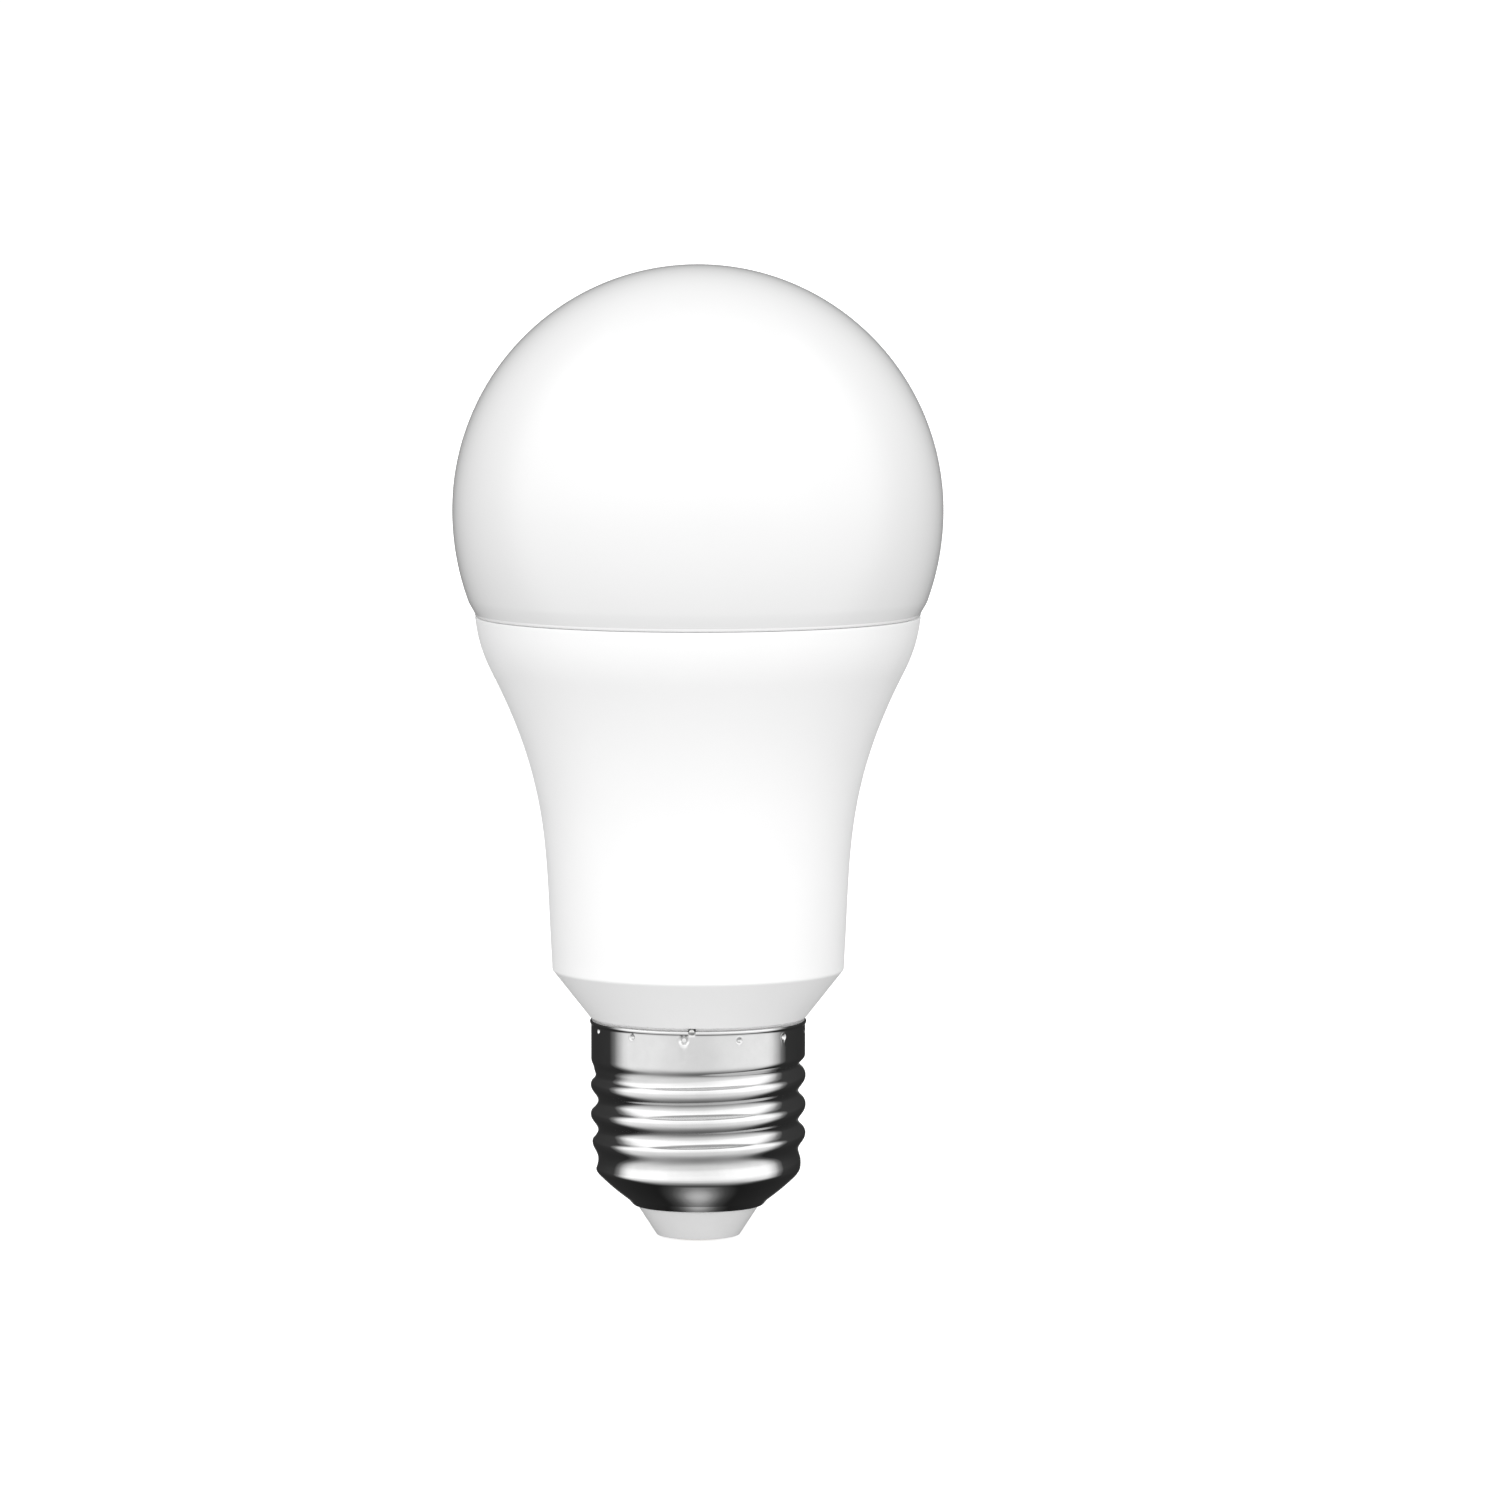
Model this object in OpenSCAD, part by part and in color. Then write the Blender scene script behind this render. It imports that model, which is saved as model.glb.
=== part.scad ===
// Smart light bulb: a frosted globe on a flared plastic housing with an Edison screw cap.
// Inside are the heat sink, the LED board, the driver board and the wireless module.
// Millimetres. The origin is on the axis at the centre contact's lower face, and +Z
// points to the top of the globe. The front of the bulb faces -Y.

/* [Globe] */
// Diameter of the globe at its widest
globe_d = 60; // [59.8:0.1:60.2]
// Height of the top of the globe above the centre contact
bulb_h = 119.2; // [119:0.1:120]
// How much the lower half of the globe is stretched downwards
globe_stretch = 1.04; // [1:0.01:1.05]
// Wall of the globe
globe_wall = 1; // [0.8:0.1:1.2]
// Radius of the round edge where the globe turns in to the seam
globe_edge_r = 0.3; // [0.2:0.05:0.4]
// Radius of the globe's edge at the seam
globe_seam_r = 27.25; // [27.2:0.05:27.35]

/* [Housing] */
// Height of the housing's upper rim
housing_top = 76.25; // [76.2:0.05:76.4]
// Outer radius of the upper rim
shoulder_r = 27.25; // [27.2:0.05:27.3]
// Height where the round shoulder turns into the hollow flare
inflection_z = 69.4; // [69.2:0.1:69.6]
// Outer radius where the shoulder turns into the flare
inflection_r = 25.2; // [25.1:0.05:25.3]
// Height of the corner between the flare and the lower chamfer
corner_z = 32.8; // [32.6:0.1:33]
// Outer radius of that corner
corner_r = 17.85; // [17.8:0.05:17.9]
// Height of the housing's underside, where the cap begins
housing_bottom = 27.1; // [27.05:0.05:27.2]
// Outer radius of the housing's underside
bottom_r = 13.4; // [13.35:0.05:13.5]
// Wall of the housing
housing_wall = 1.2; // [1.1:0.05:1.25]

/* [Screw cap] */
// Pitch of the E27 thread
pitch = 3.629; // [3.62:0.001:3.64]
// Radius over the thread's crests
crest_r = 13.2; // [13.1:0.01:13.22]
// Radius at the bottom of the thread's grooves
root_r = 12.3; // [12.2:0.01:12.35]
// Height of one crest on the -X side, on an even helix
crest_z = 18.46; // [18.4:0.01:18.5]
// How far the rolled thread leans from square, up at the back left and down at the front right
thread_lean = 0.42; // [0:0.02:0.5]
// How much lower the last crest is than the others, above the cone
tail_loss = 0.6; // [0.4:0.1:0.7]
// Outer radius of the plain skirt above the thread
skirt_r = 13.15; // [13.14:0.01:13.2]
// Height where the skirt begins
skirt_z = 22.9; // [22.85:0.05:23]
// Sheet thickness of the cap
sheet = 0.35; // [0.32:0.01:0.36]
// Number of staking dents round the skirt
dents = 12; // [6:1:16]

/* [Boards] */
// Radius of the LED board
led_board_r = 23.3; // [23:0.1:23.4]
// Underside of the LED board
led_board_z = 71.45; // [71.4:0.05:71.5]
// Thickness of the LED board
led_board_t = 1.1; // [1:0.1:1.2]
// Number of LEDs in each ring
leds_per_ring = 12; // [6:1:12]
// Thickness of the driver board
driver_board_t = 1.6; // [1.2:0.1:1.6]

/* [Hidden] */
$fn = 96;

globe_r = globe_d / 2;
globe_z = bulb_h - globe_r;
spigot_r = 25.75;
spigot_wall = 0.9;
spigot_bottom = 74.2;
seam_gap = 0.04;

rebate_r = 26.05;
rebate_z = 74;
cavity_floor_z = 34;
neck_bore_r = 10.4;
neck_r = 12.75;
neck_step_z = 23.4;
neck_lower_r = 11.6;
neck_bottom = 13;

cup_gap = 0.1;
cup_wall = 1;
cup_top = 73.7;
cup_bottom = 34.2;
ledge_r = 19.6;
ledge_top = 71.35;
ledge_t = 1.5;
screw_ring_r = 21.3;
screws = 3;

rim_bead_r = 0.3;
rim_bead_z = 26.75;
dent_z = 25.9;
dent_turn = -7.3;
wire_turn = -3;
lean_turn = 136;
cone_z = 4.2;
cone_r = 8.05;
cone_slope = 1.17;
lip_r = 0.33;

board_y = 2.2;
board_back = board_y + driver_board_t;
module_y = 8.9;
module_t = 0.8;
led_top = led_board_z + led_board_t;
pin_w = 0.64;
pin_x = [-9.6, -7.06, -4.52];

// Curves

function bezier(a, b, c, d, t) =
    pow(1 - t, 3) * a + 3 * pow(1 - t, 2) * t * b + 3 * (1 - t) * t * t * c + pow(t, 3) * d;

function arc(x, z, r, from, to, steps) =
    [for (i = [0:steps]) let (a = from + (to - from) * i / steps) [x + r * cos(a), z + r * sin(a)]];

function smooth_step(low, high, v) =
    let (t = min(max((v - low) / (high - low), 0), 1)) t * t * (3 - 2 * t);

function smooth_min(a, b, k) = let (h = max(k - abs(a - b), 0) / k) min(a, b) - h * h * k / 4;

// The housing's outer flank, from the upper rim down to the lower corner: a round shoulder
// and a long hollow flare that meet with one slope.
shoulder_slope = 0.12;
middle_slope = 0.51;
corner_slope = 0.07;
rim_point = [shoulder_r, housing_top];
middle_point = [inflection_r, inflection_z];
corner_point = [corner_r, corner_z];
flank = [
    for (i = [0:7]) bezier(rim_point, rim_point - 2 * [shoulder_slope, 1],
        middle_point + 2.8 * [middle_slope, 1], middle_point, i / 7),
    for (i = [1:14]) bezier(middle_point, middle_point - 14.7 * [middle_slope, 1],
        corner_point + 13.6 * [corner_slope, 1], corner_point, i / 14)
];
flank_table = [for (i = [len(flank) - 1:-1:0]) [flank[i][1], flank[i][0]]];

// Points on the flank moved inwards by d, from height low up to height high
function inner_flank(d, low, high, steps) =
    [for (i = [0:steps]) let (z = low + (high - low) * i / steps)
        [lookup(z, flank_table) - d, z]];

// A tube of radius r along points. side is a direction that the path never follows.
module swept_tube(points, r, side, sides = 8) {
    n = len(points);
    rings = [for (i = [0:n - 1])
        let (t = points[min(i + 1, n - 1)] - points[max(i - 1, 0)],
            u = cross(side, t) / norm(cross(side, t)),
            v = cross(t, u) / norm(t))
        for (j = [0:sides - 1]) points[i] + r * (cos(360 * j / sides) * u + sin(360 * j / sides) * v)];
    walls = [for (i = [0:n - 2], j = [0:sides - 1])
        let (k = (j + 1) % sides, a = i * sides, b = a + sides)
        each [[a + j, b + j, a + k], [a + k, b + j, b + k]]];
    start = [for (j = [0:sides - 1]) j];
    finish = [for (j = [sides - 1:-1:0]) (n - 1) * sides + j];
    polyhedron(points = rings, faces = concat(walls, [start, finish]));
}

// A smooth path through hand-chosen points, by Catmull-Rom segments
function smooth_path(p, steps = 4) = [
    for (i = [0:len(p) - 2], k = [0:steps - 1])
        let (a = p[max(i - 1, 0)], b = p[i], c = p[i + 1], d = p[min(i + 2, len(p) - 1)], t = k / steps)
        b + (c - a) * t / 2 + (2 * a - 5 * b + 4 * c - d) * t * t / 2
            + (3 * b - a - 3 * c + d) * t * t * t / 2,
    p[len(p) - 1]
];

// Shells

// The globe's outline at angle a: a sphere above its centre and a stretched one below it
function globe_point(r, a) = [r * cos(a), globe_z + r * sin(a) * (a < 0 ? globe_stretch : 1)];

module diffuser() {
    edge_z = housing_top + seam_gap;
    outer = [for (a = [90:-3:-21]) globe_point(globe_r, a)];
    inner = [for (a = [-21:3:90]) globe_point(globe_r - globe_wall, a)];
    edge = arc(globe_seam_r - globe_edge_r, edge_z + globe_edge_r, globe_edge_r, 15, -90, 5);
    color("ivory") rotate_extrude() polygon(concat(
        outer, edge,
        [[spigot_r, edge_z], [spigot_r, spigot_bottom], [spigot_r - spigot_wall, spigot_bottom],
            [spigot_r - spigot_wall, edge_z + 0.6]],
        inner));
}

module sealing_bead() {
    color("gainsboro") rotate_extrude() polygon([
        [spigot_r, spigot_bottom], [rebate_r, spigot_bottom], [rebate_r, housing_top - 0.1],
        [spigot_r, housing_top + 0.05]]);
}

// A slot along the front of the neck, which the neutral wire lies in
module wire_groove(inner_r, low, high, w = 0.8) {
    rotate([0, 0, wire_turn]) translate([-w / 2, -14, low]) cube([w, 14 - inner_r, high - low]);
}

// Two ribs on each side of the neck, which the driver board's edges slide between
module board_guides() {
    guide = [2.1, 0.7, 15];
    gap = 0.1;
    for (side = [-1, 1], y = [board_y - gap - guide[1], board_back + gap])
        translate([side * (neck_bore_r - 0.95) - guide[0] / 2, y, 13.2]) cube(guide);
}

module housing() {
    rim_edge = 0.15;
    color("white") difference() {
        union() {
            rotate_extrude() polygon(concat(
                [[rebate_r, housing_top], [shoulder_r - rim_edge, housing_top]],
                [for (i = [1:len(flank) - 2]) flank[i]],
                arc(corner_r - 0.6, corner_z + 0.28, 0.6, 0, -48, 3),
                arc(bottom_r - 0.25, housing_bottom + 0.3, 0.3, -50, -90, 2),
                [[neck_r, housing_bottom], [neck_r, neck_step_z], [neck_lower_r, neck_step_z],
                    [neck_lower_r, neck_bottom], [neck_bore_r, neck_bottom], [neck_bore_r, 28.6],
                    [12.4, 28.6], [16.3, 33.2]],
                inner_flank(housing_wall, cavity_floor_z, rebate_z, 18),
                [[rebate_r, rebate_z]]));
            board_guides();
        }
        wire_groove(neck_lower_r - 0.75, neck_bottom - 1, housing_bottom - 0.05);
    }
}

module screw_positions(r) {
    for (i = [0:screws - 1]) rotate([0, 0, 360 * i / screws]) translate([r, 0, 0]) children();
}

module heat_sink_cup() {
    outer_d = housing_wall + cup_gap;
    inner_d = outer_d + cup_wall;
    wall_above = inner_flank(inner_d, ledge_top, cup_top, 3);
    wall_below = inner_flank(inner_d, cup_bottom, ledge_top - ledge_t, 16);
    color("silver") difference() {
        rotate_extrude() polygon(concat(
            inner_flank(outer_d, cup_bottom, cup_top, 20),
            [for (i = [3:-1:0]) wall_above[i]],
            [[ledge_r, ledge_top], [ledge_r, ledge_top - ledge_t]],
            [for (i = [16:-1:0]) wall_below[i]]));
        screw_positions(screw_ring_r) translate([0, 0, ledge_top - 2]) cylinder(r = 1.05, h = 3);
    }
}

// Screw cap

function thread_r(a, z) =
    let (crest = crest_r - tail_loss * (1 - smooth_step(9, 13, z)))
    (crest + root_r) / 2
    + (crest - root_r) / 2
        * cos(360 * (z - crest_z - thread_lean * cos(a - lean_turn)) / pitch - a + 180);

// The shell's outer radius: the lower cone, the thread, and the fade into the skirt. The last
// groove runs out early on the -X side.
function shell_r(a, z) =
    let (run_out = 0.275 * (1 - cos(a)) * smooth_step(skirt_z - 3.7, skirt_z - 2.3, z),
        fade = 1 - (1 - run_out) * (1 - smooth_step(skirt_z - 1.9, skirt_z - 0.5, z)))
    smooth_min(thread_r(a, z) * (1 - fade) + (skirt_r - 0.03) * fade,
        cone_r + cone_slope * (z - cone_z), 0.5);

module threaded_wall() {
    turns = 48;
    rows = 36;
    low = cone_z + 0.35;
    high = skirt_z - 0.05;
    lock = skirt_z + 0.4;
    wall = sheet + 0.05;
    lock_wall = 0.26;
    heights = [for (i = [0:rows]) low + (high - low) * i / rows];
    lip = arc(cone_r - lip_r, cone_z, lip_r, 180, 315, 5);
    function column(a) = concat(
        [for (p = lip) p],
        [for (z = heights) [shell_r(a, z), z]],
        [[skirt_r - 0.03, lock], [skirt_r - 0.03 - lock_wall, lock]],
        [for (i = [rows:-1:0]) let (z = heights[i])
            [shell_r(a, z) - wall + (wall - lock_wall) * smooth_step(skirt_z - 0.3, high, z), z]]);
    columns = [for (j = [0:turns - 1]) column(360 * j / turns)];
    n = len(columns[0]);
    points = [for (j = [0:turns - 1]) for (p = columns[j])
        [p[0] * cos(360 * j / turns), p[0] * sin(360 * j / turns), p[1]]];
    faces = [for (j = [0:turns - 1], i = [0:n - 1])
        let (a = j * n, b = ((j + 1) % turns) * n, k = (i + 1) % n)
        each [[a + i, a + k, b + i], [b + i, a + k, b + k]]];
    polyhedron(points = points, faces = faces);
}

module screw_shell() {
    dent_ball = 0.6;
    dent_depth = 0.12;
    color("silver") {
        threaded_wall();
        difference() {
            rotate_extrude() {
                translate([skirt_r - sheet, skirt_z]) square([sheet, rim_bead_z - skirt_z]);
                translate([skirt_r - 0.05, rim_bead_z]) circle(r = rim_bead_r);
            }
            for (i = [0:dents - 1])
                rotate([0, 0, 270 + dent_turn + 360 * i / dents])
                    translate([skirt_r + dent_ball - dent_depth, 0, dent_z]) sphere(r = dent_ball);
            wire_groove(skirt_r - 1, rim_bead_z - 0.45, housing_bottom + 1, 0.7);
        }
    }
}

module cap_insulator() {
    color("lightgray") rotate_extrude() polygon(concat(
        [[1.05, 0.8], [3.3, 0.8], [3.3, 0.05]],
        arc(4.95, 0.3, 0.25, -90, -37, 3),
        [[7.3, 3.55], [7.34, 4.7], [10.3, 7.3], [9, 7.3], [8, 5.6], [2.4, 5.6], [2.4, 8.2], [1.05, 8.2]]));
}

module centre_contact() {
    head_r = 3.2;
    head_t = 0.75;
    shank_r = 1;
    color("gold") rotate_extrude() polygon(concat(
        [[0, 0]],
        arc(head_r - 0.4, 0.4, 0.4, -90, 0, 4),
        [[head_r, head_t], [shank_r, head_t], [shank_r, 9], [0, 9]]));
}

// LED board

module led_ring(r, turn) {
    size = [2.8, 3.5, 0.65];
    for (i = [0:leds_per_ring - 1])
        rotate([0, 0, turn + 360 * i / leds_per_ring]) translate([r, 0, led_top]) difference() {
            translate([-size[0] / 2, -size[1] / 2, 0]) cube(size);
            translate([0, 0, size[2] - 0.1]) cylinder(r = 1.1, h = 1);
        }
}

module led_board() {
    color("white") difference() {
        translate([0, 0, led_board_z]) cylinder(r = led_board_r, h = led_board_t);
        screw_positions(screw_ring_r) translate([0, 0, led_board_z - 1]) cylinder(r = 1.3, h = 4);
        translate([-8.3, module_y - 0.3, led_board_z - 1]) cube([16.6, module_t + 0.6, 4]);
        translate([-10.4, 1.2, led_board_z - 1]) cube([6.7, 1.4, 4]);
    }
}

module warm_white_leds() {
    color("khaki") led_ring(19.4, 180 / leds_per_ring);
}

module cool_white_leds() {
    color("lemonchiffon") led_ring(15.2, 0);
}

module led_board_screws() {
    head_r = 1.55;
    shank_r = 1;
    color("gray") screw_positions(screw_ring_r) difference() {
        rotate_extrude() polygon(concat(
            [[0, ledge_top - 3], [shank_r, ledge_top - 2.6], [shank_r, led_top], [head_r, led_top]],
            arc(0, led_top - 1.1, 1.91, 36, 90, 5)));
        for (turn = [0, 90])
            rotate([0, 0, turn]) translate([-0.8, -0.15, led_top + 0.35]) cube([1.6, 0.3, 1]);
    }
}

module thermal_paste() {
    color("snow") difference() {
        translate([0, 0, ledge_top]) cylinder(r = 23, h = led_board_z - ledge_top);
        translate([0, 0, ledge_top - 1]) cylinder(r = ledge_r + 0.2, h = 3);
        screw_positions(screw_ring_r) translate([0, 0, ledge_top - 1]) cylinder(r = 1.3, h = 3);
    }
}

module pins_along_z(w, low, high) {
    for (x = pin_x)
        translate([x - w / 2, board_y - pin_w / 2 - w / 2, low]) cube([w, w, high - low]);
}

module led_socket() {
    color("whitesmoke") difference() {
        translate([-11.2, -0.3, led_top]) cube([8.3, 4.4, 2.8]);
        pins_along_z(pin_w + 0.1, led_top - 1, led_top + 4);
    }
}

module supply_pins() {
    color("goldenrod") pins_along_z(pin_w, 65.9, led_top + 2.6);
}

// Driver board

module driver_board() {
    lower_w = 9;
    upper_w = 14;
    half = [[lower_w, 17], [lower_w, 33], [upper_w, 39], [upper_w, 68]];
    color("seagreen") translate([0, board_back, 0]) rotate([90, 0, 0])
        linear_extrude(driver_board_t) polygon(concat(half,
            [for (i = [3:-1:0]) [-half[i][0], half[i][1]]]));
}

module fusible_resistor() {
    r = 1.4;
    color("tan") translate([-5.5, board_y - r - 0.1, 24.5]) rotate_extrude()
        polygon(concat([[0, 3.6]], arc(r - 0.5, 3.1, 0.5, 90, 0, 3), arc(r - 0.5, -3.1, 0.5, 0, -90, 3),
            [[0, -3.6]]));
}

module varistor() {
    r = 3.5;
    color("royalblue") translate([4.6, board_y - 0.1, 24]) rotate([90, 0, 0]) rotate_extrude()
        polygon(concat([[0, 0]], arc(r - 0.8, 0.8, 0.8, -90, 0, 3), arc(r - 0.8, 2.2, 0.8, 0, 90, 3),
            [[0, 3]]));
}

module film_capacitor() {
    color("darkorange") translate([1.2, board_y - 5, 34.6]) cube([10, 5, 7]);
}

module bridge_rectifier() {
    color("dimgray") back_part(0, 24, 4.8, 4, 2.4);
}

// An electrolytic can standing along the board, with the crimp above its rubber seal
module electrolytic(x, low, r, h) {
    crimp = low + 1.6;
    translate([x, board_y - r - 0.2, 0]) rotate_extrude() polygon(concat(
        [[0, low], [r - 0.3, low], [r, low + 0.3], [r, crimp - 0.5], [r - 0.35, crimp],
            [r, crimp + 0.5]],
        arc(r - 0.5, low + h - 0.5, 0.5, 0, 90, 3),
        [[0, low + h]]));
}

module input_capacitor() {
    color("midnightblue") electrolytic(-6.2, 36.5, 5, 16);
}

module output_capacitor() {
    color("midnightblue") electrolytic(-9.4, 54, 4, 11);
}

module on_choke_axis() {
    translate([7.5, board_y, 47.5]) rotate([90, 0, 0]) children();
}

module choke_core() {
    color("darkslategray") on_choke_axis() rotate_extrude() polygon(
        [[0, 0], [4, 0], [4, 1.4], [2, 1.4], [2, 7.6], [4, 7.6], [4, 9], [0, 9]]);
}

module choke_winding() {
    color("chocolate") on_choke_axis() translate([0, 0, 1.45]) difference() {
        cylinder(r = 3.6, h = 6.1);
        translate([0, 0, -1]) cylinder(r = 2.05, h = 9);
    }
}

module block(size) {
    translate(-size / 2) cube(size);
}

module at_transformer() {
    translate([4, board_y - 5.4, 60.5]) children();
}

module transformer_core() {
    color("darkslategray") at_transformer() difference() {
        block([13, 6, 12]);
        for (side = [-1, 1]) translate([side * 3, 0, 0]) block([2.8, 7, 8.8]);
    }
}

module transformer_bobbin() {
    tube = [4.2, 7];
    bore = [3.3, 6.1];
    color("black") at_transformer() difference() {
        union() {
            block([tube[0], tube[1], 8.5]);
            for (side = [-1, 1]) translate([0, 0, side * 3.95]) block([8.6, 10.8, 0.6]);
        }
        block([bore[0], bore[1], 10]);
    }
}

module transformer_winding() {
    color("gold") at_transformer() difference() {
        block([8.2, 10.2, 7.2]);
        block([4.3, 7.1, 8]);
    }
}

// A flat package on the board's back, centred at x and z, w wide, h high and t thick
module back_part(x, z, w, h, t) {
    translate([x - w / 2, board_back, z - h / 2]) cube([w, t, h]);
}

module driver_chip() {
    color("black") back_part(0, 45, 4.9, 3.9, 1.5);
}

module dimming_transistors() {
    color("black") for (x = [-10, 10]) back_part(x, 63.5, 4.5, 2.5, 1.5);
}

module voltage_regulator() {
    color("black") back_part(8, 53, 3, 1.6, 1.1);
}

module chip_resistors() {
    color("black") for (x = [-8:3.2:8], z = [38.5, 49.5]) back_part(x + 0.8, z, 1.6, 0.8, 0.5);
}

module chip_capacitors() {
    color("tan") for (x = [-9, -5.5, -2, 1.5], z = [53, 56]) back_part(x, z, 2, 1.25, 0.8);
}

// Wireless module

module wireless_board() {
    color("navy") translate([-8, module_y, 57.8]) cube([16, module_t, 22.4]);
}

module wireless_shield_can() {
    color("silver") translate([-5.5, module_y + module_t, 60.2]) cube([11, 1.8, 10.6]);
}

module antenna_trace() {
    w = 0.5;
    bars = 9;
    step = 1.4;
    bar_h = 4.4;
    foot = 74.2;
    color("gold") translate([-(bars - 1) * step / 2 - w / 2, module_y + module_t, foot]) {
        for (i = [0:bars - 1]) translate([i * step, 0, 0]) cube([w, 0.08, bar_h]);
        for (i = [0:bars - 2])
            translate([i * step, 0, i % 2 == 0 ? bar_h - w : 0]) cube([step + w, 0.08, w]);
    }
}

module header_pins(w, front, back) {
    for (i = [-2:2]) translate([i * 2.54 - w / 2, front, 60 - w / 2]) cube([w, back - front, w]);
}

module wireless_header() {
    color("black") difference() {
        translate([-6.4, board_back, 58.8]) cube([12.8, 2.5, 2.4]);
        header_pins(pin_w + 0.1, board_back - 1, board_back + 4);
    }
}

module wireless_pins() {
    color("goldenrod") header_pins(pin_w, board_back, module_y);
}

// Wires

module live_wire() {
    route = [[-2.4, 1.6, 20.5], [-2.5, 1.3, 18.5], [-2.1, 0.7, 16], [-1, 0.2, 13.6], [-0.2, 0, 11.4],
        [0, 0, 9.6], [0, 0, 9]];
    color("firebrick") swept_tube(smooth_path(route), 0.5, [0, 1, 0]);
}

module neutral_wire() {
    route = [[0, 1.8, 20.5], [0, 1, 18.6], [0, -3.5, 17], [0, -8.2, 16], [0, -9.6, 14.4],
        [0, -9.95, 12.9], [0, -10.7, 12.4], [0, -11.2, 13], [0, -11.3, 14.5], [0, -11.3, 18],
        [0, -11.3, 21.5], [0, -11.8, 23.4], [0, -12.2, 25], [0, -12.45, 26.1], [0, -12.8, 26.68],
        [0, -13.45, 26.78]];
    color("dimgray") rotate([0, 0, wire_turn]) swept_tube(smooth_path(route, 3), 0.24, [1, 0, 0]);
}

diffuser();
sealing_bead();
housing();
heat_sink_cup();
screw_shell();
cap_insulator();
centre_contact();
led_board();
warm_white_leds();
cool_white_leds();
led_board_screws();
thermal_paste();
led_socket();
supply_pins();
driver_board();
fusible_resistor();
varistor();
film_capacitor();
bridge_rectifier();
input_capacitor();
output_capacitor();
choke_core();
choke_winding();
transformer_core();
transformer_bobbin();
transformer_winding();
driver_chip();
dimming_transistors();
voltage_regulator();
chip_resistors();
chip_capacitors();
wireless_board();
wireless_shield_can();
antenna_trace();
wireless_header();
wireless_pins();
live_wire();
neutral_wire();
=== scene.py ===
"""Smart light bulb: the looks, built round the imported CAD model.

Outlines are in millimetres, as (radius, height) pairs, and heights start at the centre
contact's lower face. Everything is turned into metres when its mesh is made.
"""
import math

import bmesh
import bpy
from mathutils import Matrix, Vector


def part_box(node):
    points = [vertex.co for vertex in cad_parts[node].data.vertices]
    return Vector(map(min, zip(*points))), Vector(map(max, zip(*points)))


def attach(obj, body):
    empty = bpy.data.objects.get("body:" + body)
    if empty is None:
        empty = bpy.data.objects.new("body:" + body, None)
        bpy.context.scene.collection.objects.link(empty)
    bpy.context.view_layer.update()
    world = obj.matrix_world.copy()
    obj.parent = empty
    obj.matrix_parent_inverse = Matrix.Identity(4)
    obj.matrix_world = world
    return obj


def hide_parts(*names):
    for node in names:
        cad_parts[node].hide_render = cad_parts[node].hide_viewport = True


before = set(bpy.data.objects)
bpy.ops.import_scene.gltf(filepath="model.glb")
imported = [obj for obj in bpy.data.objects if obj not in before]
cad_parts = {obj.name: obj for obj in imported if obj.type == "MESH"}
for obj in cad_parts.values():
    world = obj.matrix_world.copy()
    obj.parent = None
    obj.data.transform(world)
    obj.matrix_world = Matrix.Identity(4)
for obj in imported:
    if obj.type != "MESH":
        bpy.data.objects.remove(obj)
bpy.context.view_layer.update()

MM = 0.001
BODY = "root"


def limits(node):
    """Largest radius, lowest height and highest height of a CAD node, in millimetres."""
    low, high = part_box(node)
    return high.x / MM, low.z / MM, high.z / MM


def limits_along(node, axis):
    """Lowest and highest place of a CAD node along one axis, in millimetres."""
    low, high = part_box(node)
    return low[axis] / MM, high[axis] / MM


GLOBE_R, SPIGOT_BOTTOM, GLOBE_TOP = limits("diffuser")
RIM_R, NECK_BOTTOM, RIM_Z = limits("housing")
BEAD_R, CAP_BOTTOM, CAP_TOP = limits("screw_shell")
TIP_R, TIP_BOTTOM, TIP_TOP = limits("cap_insulator")
HEAD_R, CONTACT_BOTTOM, CONTACT_TOP = limits("centre_contact")
BOARD_FRONT, BOARD_BACK = limits_along("driver_board", 1)

# Globe: a sphere of radius GLOBE_R above its widest height, stretched downwards below it
GLOBE_Z = GLOBE_TOP - GLOBE_R
GLOBE_STRETCH = 1.04
GLOBE_WALL = 1.0
GLOBE_EDGE_R = 0.3
GLOBE_SEAM_R = 27.25
SEAM_GAP = 0.03
SPIGOT_R = 25.75
SPIGOT_WALL = 0.9

# Housing
SHOULDER_R = 27.25
INFLECTION = (25.2, 69.4)
CORNER = (17.85, 32.8)
HOUSING_BOTTOM = 27.0
BOTTOM_R = 13.4
HOUSING_WALL = 1.2
REBATE = (26.05, 74.0)
NECK_R = 12.75
NECK_STEP_Z = 23.4
NECK_LOWER_R = 11.6
NECK_BORE_R = 10.4
NECK_INSIDE_TOP = (12.4, 28.6)
CHAMFER_INSIDE_TOP = (16.3, 33.2)
WIRE_ANGLE = 267.0

# Screw cap
PITCH = 3.629
CREST_R = 13.2
ROOT_R = 12.3
CREST_Z = 18.3
THREAD_LEAN = 0.42
LEAN_ANGLE = 136.0
TAIL_LOSS = 0.6
SKIRT_R = 13.15
SKIRT_Z = 22.9
SHEET = 0.35
BEAD_Z = 26.45
BEAD_TUBE = 0.31
BEAD_INSET = 0.17
DENTS = 12
DENT_Z = 25.75
FIRST_DENT_ANGLE = 262.7
CONE = (8.2, 4.2)
CONE_SLOPE = 1.17
LIP_R = 0.4

# LED rings
LEDS_PER_RING = 12
WARM_RING_R = 19.4
COOL_RING_R = 15.2


# Curves

def smooth_step(low, high, value):
    """0 up to low and 1 from high on, with an even S-curve between them."""
    t = min(max((value - low) / (high - low), 0.0), 1.0)
    return t * t * (3 - 2 * t)


def smooth_min(a, b, k):
    """The smaller of a and b, rounded where they come within k of each other."""
    h = max(k - abs(a - b), 0.0) / k
    return min(a, b) - h * h * k / 4


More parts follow.
